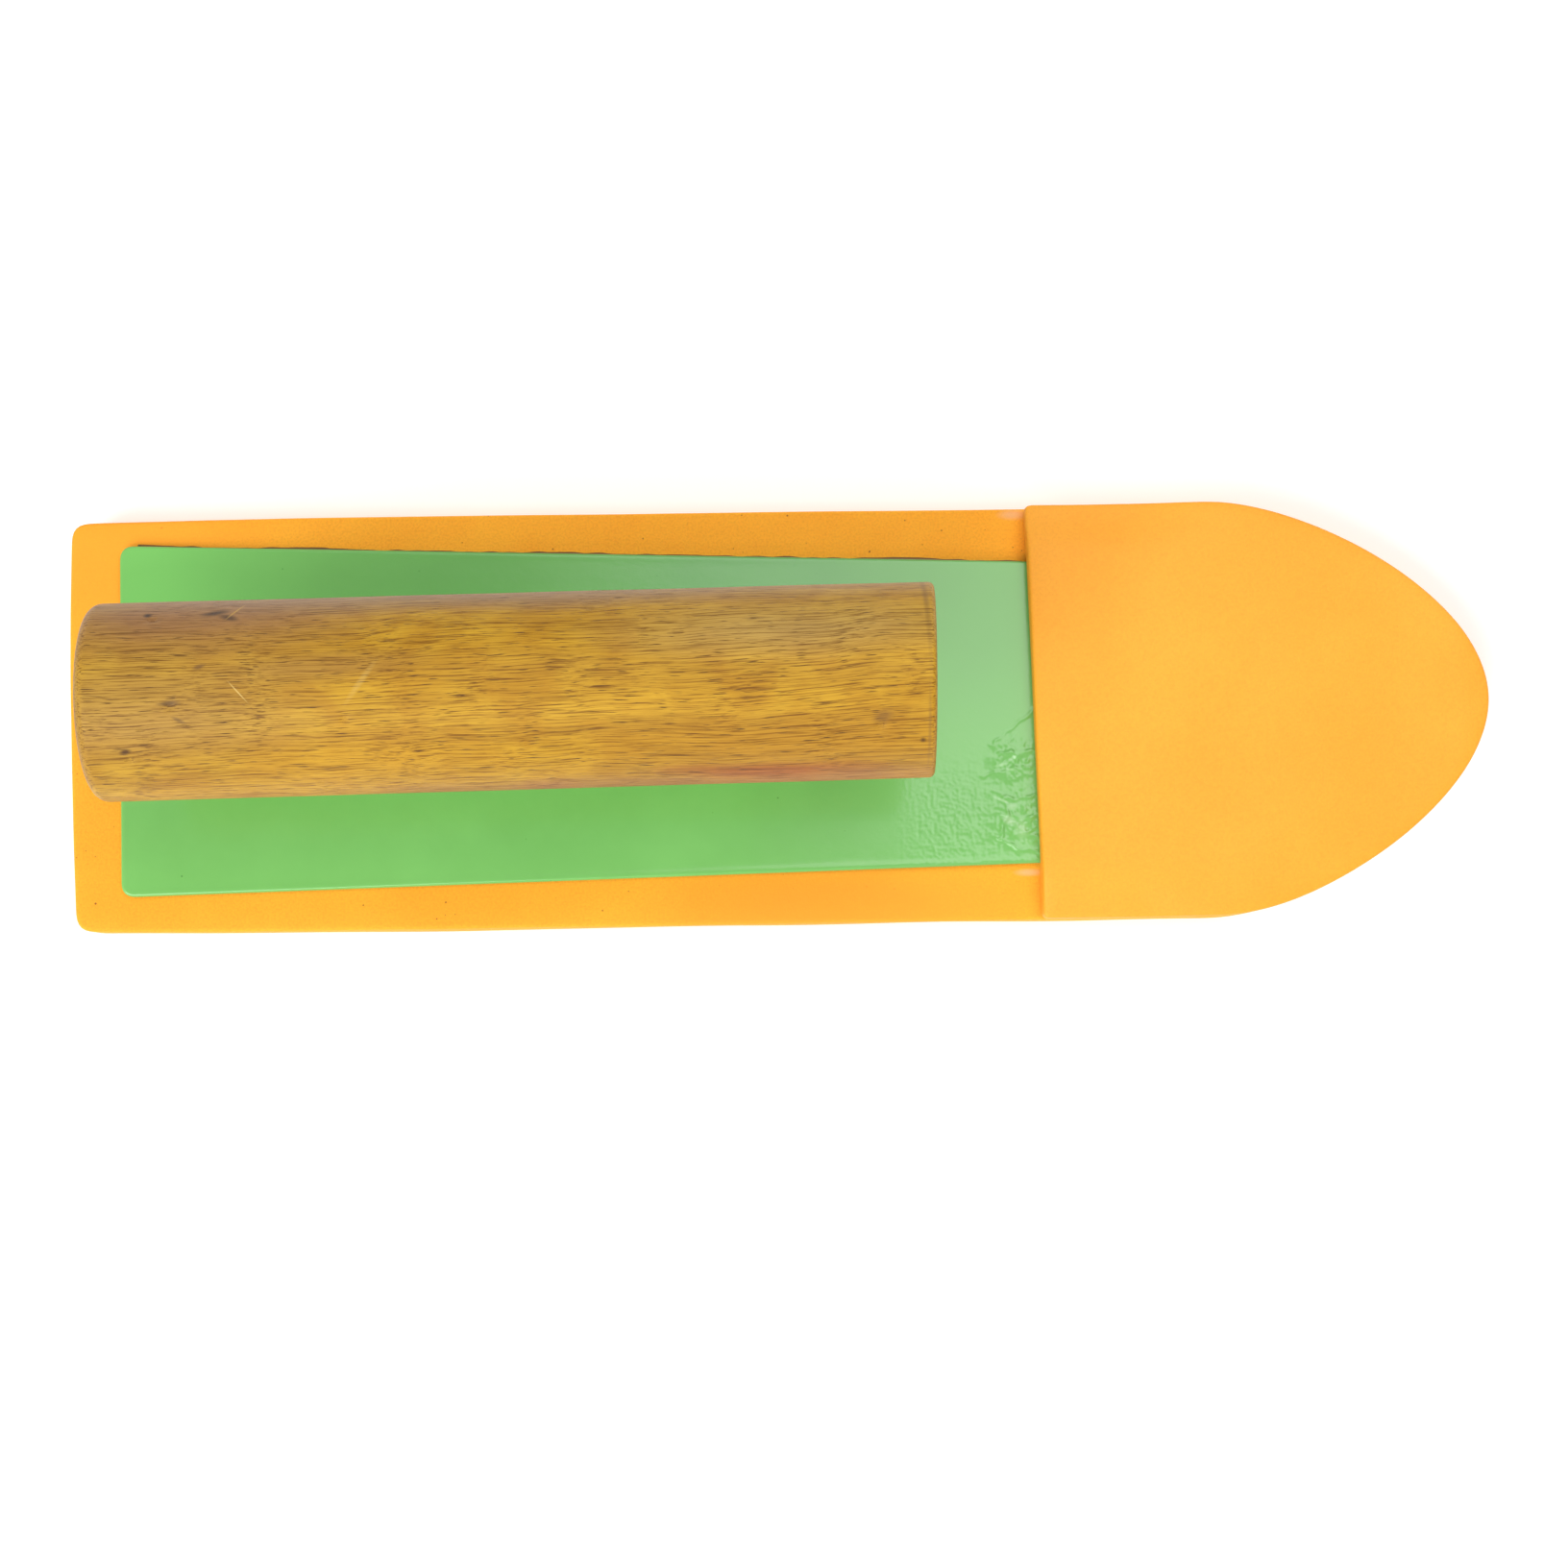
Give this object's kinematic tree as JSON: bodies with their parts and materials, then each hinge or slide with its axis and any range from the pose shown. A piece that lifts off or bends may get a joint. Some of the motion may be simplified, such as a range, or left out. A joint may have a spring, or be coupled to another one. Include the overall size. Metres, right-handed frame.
{
  "type": "grout float",
  "caption": "Boat-nosed foam float with a riveted strap and round wooden grip on a steel back plate, for spreading and smoothing grout or mortar.",
  "frame": {"origin": "middle of the working face, the flat underside of the foam", "axes": "+X towards the pointed nose, +Y to the left looking towards the nose, +Z from the working face up to the grip"},
  "size_m": [0.2806, 0.0822, 0.0739],
  "materials": {
    "pad_foam": "soft closed-cell foam, matt",
    "cover_foam": "soft skinned foam sheet, satin",
    "contact_cement": "dried contact cement, satin",
    "plate_paint": "glossy green enamel on sheet steel",
    "strap_paint": "glossy green enamel on strip steel",
    "rivet_paint": "glossy green enamel over steel",
    "screw_zinc": "bright zinc plating",
    "grip_wood": "clear gloss lacquer on yellow-brown hardwood"
  },
  "bodies": {
    "root": {"float_pad": "pad_foam", "plate_cement": "contact_cement", "backing_plate": "plate_paint", "nose_cement": "contact_cement", "tongue_cement": "contact_cement", "nose_cover": "cover_foam", "handle_strap": "strap_paint", "wooden_grip": "grip_wood", "rivet_rear_left": "rivet_paint", "rivet_rear_right": "rivet_paint", "screw_rear": "screw_zinc", "rivet_front_left": "rivet_paint", "rivet_front_right": "rivet_paint", "screw_front": "screw_zinc"}
  },
  "joints": []
}
